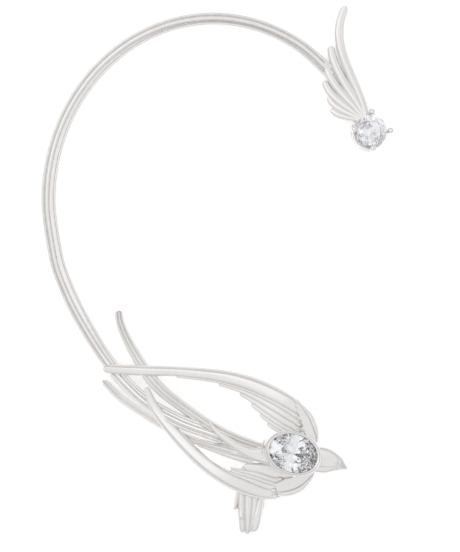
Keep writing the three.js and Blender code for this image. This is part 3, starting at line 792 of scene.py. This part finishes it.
def bezelProfile(length, width, wall):
    # up the outer wall, over the rolled rim, and down the inner wall to the pocket's floor
    outer = length / 2 + bird["clearance"] + wall
    inner = length / 2 + bird["clearance"]
    girdle = girdleOver(width)
    rim = girdle + cut["girdle"] / 2 + bird["bezelRim"]
    return [
        (0.02, 0), (outer * 0.84, 0), (outer * 0.93, girdle * 0.3), (outer * 0.975, girdle * 0.6),
        (outer, girdle), (outer, rim - 0.14), (outer - 0.03, rim - 0.05), (outer - 0.1, rim),
        (outer - 0.17, rim - 0.02), (outer - 0.21, rim - 0.1), (outer - 0.26, rim - 0.02),
        (outer - 0.36, rim), (inner - 0.1, rim - 0.04), (inner - 0.19, rim - 0.12),
        (inner - 0.18, girdle + 0.22), (inner - 0.02, girdle + 0.12), (inner - 0.02, girdle - 0.12),
        (inner - 0.3, girdle * 0.8), (inner * 0.55, girdle * 0.42),
        (0.02, 0.12),
    ]


bezelPart = turnedPart(bezelProfile(bird["stoneLength"], bird["stoneWidth"], bird["bezelWall"]),
                       bird["stoneLength"], bird["stoneWidth"])
makePiece("oval_bezel", [placed(bezelPart, bezelFrame)],
          polishedMetal, "cuff_frame", sharpDegrees=50)

crest = {
    "reach": 2.7, "fall": 5.9, "length": 14.1, "featherWidth": 1.25,
    "height": 0.7, "lift": 1.0, "neckWidth": 1.1, "underCup": 0.7,
    "rootBearing": 38, "grooveAt": -0.4, "grooveDepth": 0.12,
    "rows": [  # share and width of the longest feather's, bow of its own length, root in mm
        {"share": 1.0, "bearing": 96.9, "bow": 0.115, "width": 1.0, "root": 0.9},
        {"share": 0.69, "bearing": 112, "bow": 0.055, "width": 0.92, "root": 0.6},
        {"share": 0.58, "bearing": 121.5, "bow": 0.075, "width": 0.88, "root": 0.3},
        {"share": 0.455, "bearing": 134, "bow": 0.08, "width": 0.88, "root": 0.0},
        {"share": 0.335, "bearing": 147, "bow": 0.075, "width": 0.84, "root": -0.25},
        {"share": 0.27, "bearing": 163, "bow": 0.08, "width": 0.76, "root": -0.5},
    ],
}
basket = {
    "reach": 1.0, "fall": 2.1, "lift": 0.9, "lean": 20, "bearing": 42,
    "stoneWidth": 4.0, "width": 4.3, "rim": -0.55, "clawThickness": 0.56, "beadWidth": 0.84,
    "cupShift": 0.3, "clawBend": 0.1, "beadFrom": 0.75,
    "lipFrom": 162, "lipTo": 278, "lipOut": 0.42, "lipWidth": 0.78, "lipFoot": 0.5, "lipTop": 1.95,
}
crestX = hookEdge[0]["x"] + crest["reach"]
crestY = hookEdge[0]["y"] - crest["fall"]
basketFoot = (crestX + basket["reach"], crestY - basket["fall"], basket["lift"])
basketFrame = settingFrame(basketFoot, basket["bearing"], basket["lean"], 0)


def basketProfile():
    outer = basket["width"] / 2
    girdle = girdleOver(basket["stoneWidth"])
    rim = girdle + cut["girdle"] / 2 + basket["rim"]
    return [
        (0.02, 0), (outer * 0.62, 0), (outer * 0.78, girdle * 0.12), (outer * 0.91, girdle * 0.28),
        (outer * 0.98, girdle * 0.46), (outer, rim - 0.12), (outer * 0.98, rim - 0.03),
        (outer * 0.94, rim), (outer * 0.86, rim - 0.05), (outer * 0.6, girdle * 0.36), (0.02, 0.12),
    ]


def clawParts():
    width = basket["stoneWidth"]
    girdle = girdleOver(width)
    bead = basket["beadWidth"]
    gap = bird["clearance"] + basket["clawThickness"] / 2
    rows = [
        {"out": width * 0.25, "up": 0},
        {"out": width * 0.42, "up": girdle * 0.45},
        {"out": width / 2 + gap, "up": girdle - cut["girdle"]},
        {"out": width / 2 + gap, "up": girdle + cut["girdle"]},
        {"out": width / 2 + gap - basket["clawBend"], "up": girdle + bead * 0.92},
    ]
    section = [(a, r - 0.5) for a, r in roundSection(18)]
    parts = []
    for turn in (0, 90, 180, 270):
        stations = []
        for place in tipPlaces(30):
            # it swells to a bead and closes in a half circle
            left = (1 - place) / (1 - basket["beadFrom"]) * bead * 0.85
            swell = (bead - basket["clawThickness"]) * fadeTo(place, 0.72, 0.86)
            thick = (basket["clawThickness"] + swell) * roundedEnd(left, bead / 2, 0.08)
            stations.append((readRows(rows, "out", place), 0, readRows(rows, "up", place),
                             thick, thick))
        part = sweepBar(stations, lambda place: section, (0, -1, 0))
        parts.append(placed(part, basketFrame @ Matrix.Rotation(math.radians(turn), 4, "Z")))
    return parts


def cupLipPart():
    # the cup's full shoulder, which shows below and to the left of the stone
    turn = math.radians(basket["bearing"])
    lean = girdleOver(basket["stoneWidth"]) * math.sin(math.radians(basket["lean"]))
    middleX = basketFoot[0] + lean * math.cos(turn)
    middleY = basketFoot[1] + lean * math.sin(turn)
    out = basket["stoneWidth"] / 2 + basket["lipOut"]
    steps = 60
    stations = []
    for i in range(steps + 1):
        angle = math.radians(basket["lipFrom"] + (basket["lipTo"] - basket["lipFrom"]) * i / steps)
        ending = roundedEnd(min(i, steps - i) * 0.08, 1.2, 0.25)
        high = (basket["lipTop"] - basket["lipFoot"]) * (0.7 + 0.3 * ending)
        stations.append((middleX + out * math.cos(angle), middleY + out * math.sin(angle),
                         basket["lipFoot"], basket["lipWidth"] * ending, high))
    return sweepBar(stations, lambda place: topSection(domeRise(2.6), 24))


basketPart = turnedPart(basketProfile(), basket["stoneWidth"], basket["stoneWidth"], 72)
basketTurn = math.radians(basket["bearing"])
cupShift = Matrix.Translation((-basket["cupShift"] * math.cos(basketTurn),
                               -basket["cupShift"] * math.sin(basketTurn), 0))
makePiece("claw_basket", [placed(basketPart, cupShift @ basketFrame)] + clawParts(),
          polishedMetal, "cuff_frame", sharpDegrees=50)
makePiece("cup_lip", [cupLipPart()], satinMetal, "cuff_frame", sharpDegrees=50)

for name, length, width, setting, node in (
        ("oval_diamond", bird["stoneLength"], bird["stoneWidth"], bezelFrame, "oval_stone"),
        ("round_diamond", basket["stoneWidth"], basket["stoneWidth"], basketFrame, "round_stone")):
    seat = setting @ Matrix.Translation((0, 0, girdleOver(width)))
    stone = placed(cutStonePart(length, width), seat)
    makePiece(name, [stone], clearStone, node, sharpDegrees=1)
print("stones and settings made")


# Crest
def crestFeather(row, layer):
    # each feather is crowned, with one fine groove along its left side
    def grooved(a):
        groove = softBump(a, crest["grooveAt"], 0.09, crest["grooveDepth"])
        return domeRise(2.7, -0.08)(a) * (1 - groove)

    rootTurn = math.radians(crest["rootBearing"])
    steps = math.ceil(30 + 50 * row["share"])
    reach = row["share"] * crest["length"]
    turn = math.radians(row["bearing"])
    outX, outY = math.cos(turn), math.sin(turn)
    stations = []
    underCup = [-crest["underCup"] / reach * (4 - i) / 4 for i in range(4)]
    for place in underCup + tipPlaces(steps):
        swing = 4 * row["bow"] * max(place, 0) * (1 - place) * (0.1 + 1.5 * place)
        rootShare = 0.8 + 0.2 * min(3 * max(place, 0), 1)
        tipShare = 1 - 0.14 * fadeTo(place, 0.75, 1)
        wide = crest["featherWidth"] * row["width"] * rootShare * tipShare
        side = row["root"] * (1 - max(place, 0))
        stations.append((
            crestX + (outX * place - outY * swing) * reach + side * math.cos(rootTurn),
            crestY + (outY * place + outX * swing) * reach + side * math.sin(rootTurn),
            crest["lift"] * (1 - 0.7 * place - 0.05 * layer),
            wide * roundedEnd((1 - place) * reach, wide / 2),
            crest["height"] * (1.57 - 0.57 * place),
        ))
    section = topSection(grooved, 36)
    return sweepBar(stations, lambda place: section)


def crestNeck():
    # the bar that carries the basket from the feathers' roots
    stations = []
    steps = 20
    for i in range(steps + 1):
        place = -0.05 + 0.85 * i / steps
        x = crestX + (basketFoot[0] - crestX) * place
        y = crestY + (basketFoot[1] - crestY) * place
        z = crest["lift"] + (basketFoot[2] - crest["lift"]) * max(place, 0)
        wide = crest["neckWidth"] * min(1, 0.5 + 2 * i / steps)
        stations.append((x, y, z, wide, crest["height"] * 1.2))
    return sweepBar(stations, lambda place: topSection(domeRise(2.2), 24))


crestParts = [crestFeather(row, layer) for layer, row in enumerate(crest["rows"])]
makePiece("crest_feathers", crestParts + [crestNeck()], satinMetal, "cuff_frame")
print("crest made")

# Clip behind the lobe
clip = {
    "gap": 4.6, "thickness": 1.0, "width": 3.6, "left": 5.0, "down": 2.2,
    "reach": 8.1, "backReach": 8.9, "turn": -4, "backShare": 0.92, "bendPinch": 0.9,
    "ridges": 4, "ridgeDepth": 0.16,
    "featherHeight": 0.62, "featherSink": 0.3, "featherDrop": 1.5,
    "beadAt": 0.71, "beadHeight": 0.22, "beadHalf": 0.035, "beadFeather": 1,
    "feathers": [  # root, middle, tip and width in shares of the clip's width, down of its reach
        {"root": -0.43, "middle": -0.48, "tip": -0.54, "down": 0.62, "width": 0.15, "flare": 0},
        {"root": -0.33, "middle": -0.31, "tip": -0.2, "down": 0.965, "width": 0.28, "flare": -0.1},
        {"root": -0.08, "middle": -0.07, "tip": -0.04, "down": 0.985, "width": 0.34, "flare": -0.3},
        {"root": 0.17, "middle": 0.13, "tip": 0.06, "down": 0.95, "width": 0.27, "flare": -0.4},
        {"root": 0.4, "middle": 0.29, "tip": 0.17, "down": 0.94, "width": 0.22, "flare": 0.55},
    ],
}
clipFrame = (Matrix.Translation((birdX - clip["left"], birdY - clip["down"], 0))
             @ Matrix.Rotation(math.radians(clip["turn"]), 4, "Z"))


def clipStrap():
    # down the front, round the bend under the lobe and up the back
    bend = clip["gap"] / 2
    thick = clip["thickness"]
    front = clip["reach"] - bend - thick
    back = clip["backReach"] - bend - thick
    stations = []

    def put(y, z, share):
        stations.append((0, y, z, clip["width"] * share, thick))

    frontSteps, bendSteps, backSteps = 12, 48, 30
    for i in range(frontSteps):
        put(-front * i / frontSteps, thick + clip["gap"], 1)
    for i in range(bendSteps + 1):
        turn = math.pi * i / bendSteps
        put(-front - bend * math.sin(turn), thick + bend * (1 + math.cos(turn)),
            clip["backShare"] * math.sqrt(1 - (clip["bendPinch"] * math.sin(turn)) ** 2))
    for i in range(1, backSteps + 1):
        place = i / backSteps
        put(-front + back * place, thick, clip["backShare"] * tipTaper(place, 0.7, 0.3))

    def sectionAt(place):
        # the ridges fade out past the bend
        depth = clip["ridgeDepth"] * min(max((0.7 - place) / 0.1, 0), 1)
        return topSection(ridgedRise(clip["ridges"], depth), 40, 0.94, 0.45)

    return placed(sweepBar(stations, sectionAt, (1, 0, 0)), clipFrame)


def dropFeather(row, beaded):
    # a small feather laid on the clip's front, its tip dipping past the bend
    start, end = clip["down"] * 0.8, row["down"] * clip["reach"]
    top = 2 * clip["thickness"] + clip["gap"] - clip["featherSink"]
    lean = [{"across": row[place]} for place in ("root", "middle", "tip")]
    stations = []
    for place in tipPlaces(40):
        down = start + (end - start) * place
        across = readRows(lean, "across", place)
        wide = row["width"] * clip["width"] * (1 + row["flare"] * fadeTo(place, 0.2, 0.8))
        wide *= roundedEnd(end - down, wide / 2)
        z = top - clip["featherDrop"] * fadeTo(down / clip["reach"], 0.6, 1.25) ** 1.5
        if beaded:
            z += softBump(down / clip["reach"], clip["beadAt"], clip["beadHalf"],
                          clip["beadHeight"])
        stations.append((across * clip["width"], -down, z, wide, clip["featherHeight"]))
    section = topSection(domeRise(2.0), 26, 0.9, 0.2)
    return placed(sweepBar(stations, lambda place: section), clipFrame)


dropFeathers = [dropFeather(row, i == clip["beadFeather"])
                for i, row in enumerate(clip["feathers"])]
makePiece("fluted_lobe_clip", [clipStrap()] + dropFeathers, satinMetal, "lobe_clip")
print("clip made")

# Floor, light and camera
studio = {
    "floorSize": 1.2, "floorColour": "#FBFAF9", "toothColour": "#FFFFFF",
    "toothPerMetre": 900,  # the real 0.1 mm tooth, drawn 1 mm so that it shows
    "floorGlow": 0.32,
    "horizon": 0.53, "low": 0.63, "lowAt": 0.3, "high": 0.93, "highAt": 0.72, "zenith": 0.89,
    "softbox": 0.7, "softboxWatts": 0.4, "softboxPlace": (-0.45, 0.35, 0.7),
}
collection = bpy.context.scene.collection


# Matt opal acrylic of a light table: flat, no gloss, lit a little from below
def mattTable():
    material, tree, shader = newMaterial("matt_white_table", {
        "Roughness": 0.9, "Emission Color": (1, 1, 1, 1), "Emission Strength": studio["floorGlow"]})
    place = addNode(tree, "ShaderNodeTexCoord")
    tooth = addNode(tree, "ShaderNodeTexNoise", {"Scale": studio["toothPerMetre"]},
                    {"Vector": place.outputs["Object"]})
    colour = addNode(tree, "ShaderNodeMix", {
        "data_type": "RGBA", mixFrom: linearColour(studio["floorColour"]),
        mixTo: linearColour(studio["toothColour"])}, {"Factor": tooth.outputs["Fac"]})
    tree.links.new(colour.outputs[mixResult], shader.inputs["Base Color"])
    return material


floorMesh = bpy.data.meshes.new("light_table")
half = studio["floorSize"] / 2
floorMesh.from_pydata([(-half, -half, 0), (half, -half, 0), (half, half, 0), (-half, half, 0)],
                      [], [(0, 1, 2, 3)])
floorMesh.materials.append(mattTable())
floor = bpy.data.objects.new("light_table", floorMesh)
collection.objects.link(floor)

# a white tent round the piece, a little darker near the horizon so that the metal gets its edges
world = bpy.data.worlds.new("studio_tent")
bpy.context.scene.world = world
world.use_nodes = True
worldTree = world.node_tree
worldTree.nodes.clear()
direction = addNode(worldTree, "ShaderNodeTexCoord")
height = addNode(worldTree, "ShaderNodeSeparateXYZ",
                 links={"Vector": direction.outputs["Generated"]})
ramp = addNode(worldTree, "ShaderNodeValToRGB", links={"Fac": height.outputs["Z"]})
ramp.color_ramp.interpolation = "EASE"
stops = [(0.0, studio["horizon"]), (studio["lowAt"], studio["low"]),
         (studio["highAt"], studio["high"]), (1.0, studio["zenith"])]
while len(ramp.color_ramp.elements) < len(stops):
    ramp.color_ramp.elements.new(0.5)
for element, (place, level) in zip(ramp.color_ramp.elements, stops):
    element.position = place
    element.color = (level, level, level, 1)
background = addNode(worldTree, "ShaderNodeBackground", {"Strength": 1.0},
                     {"Color": ramp.outputs["Color"]})
addNode(worldTree, "ShaderNodeOutputWorld", links={"Surface": background.outputs["Background"]})

lampData = bpy.data.lights.new("softbox", "AREA")
lampData.shape = "SQUARE"
lampData.size = studio["softbox"]
lampData.energy = studio["softboxWatts"]
lamp = bpy.data.objects.new("softbox", lampData)
lamp.location = studio["softboxPlace"]
lamp.rotation_euler = (-Vector(lamp.location)).to_track_quat("-Z", "Y").to_euler()
collection.objects.link(lamp)

# a long lens straight above, as the photo looks at the cuff's front
view = {
    "lens": 600, "sensor": 36, "frameHeight": 0.069, "farthest": 10,
    "aim": (0.00166, -0.00076, 0.003),
}
cameraData = bpy.data.cameras.new("photo_camera")
cameraData.lens = view["lens"]
cameraData.sensor_width = view["sensor"]
cameraData.clip_end = view["farthest"]
distance = view["frameHeight"] * view["lens"] / view["sensor"]
photoCamera = bpy.data.objects.new("photo_camera", cameraData)
photoCamera.location = Vector(view["aim"]) + Vector((0, 0, distance))
collection.objects.link(photoCamera)
bpy.context.scene.camera = photoCamera
bpy.context.scene.view_settings.view_transform = "Standard"
# light goes round many facets inside a brilliant before it comes out again
cycles = bpy.context.scene.cycles
cycles.max_bounces = 32
cycles.transmission_bounces = 32
cycles.glossy_bounces = 16
print("floor, light and camera set")
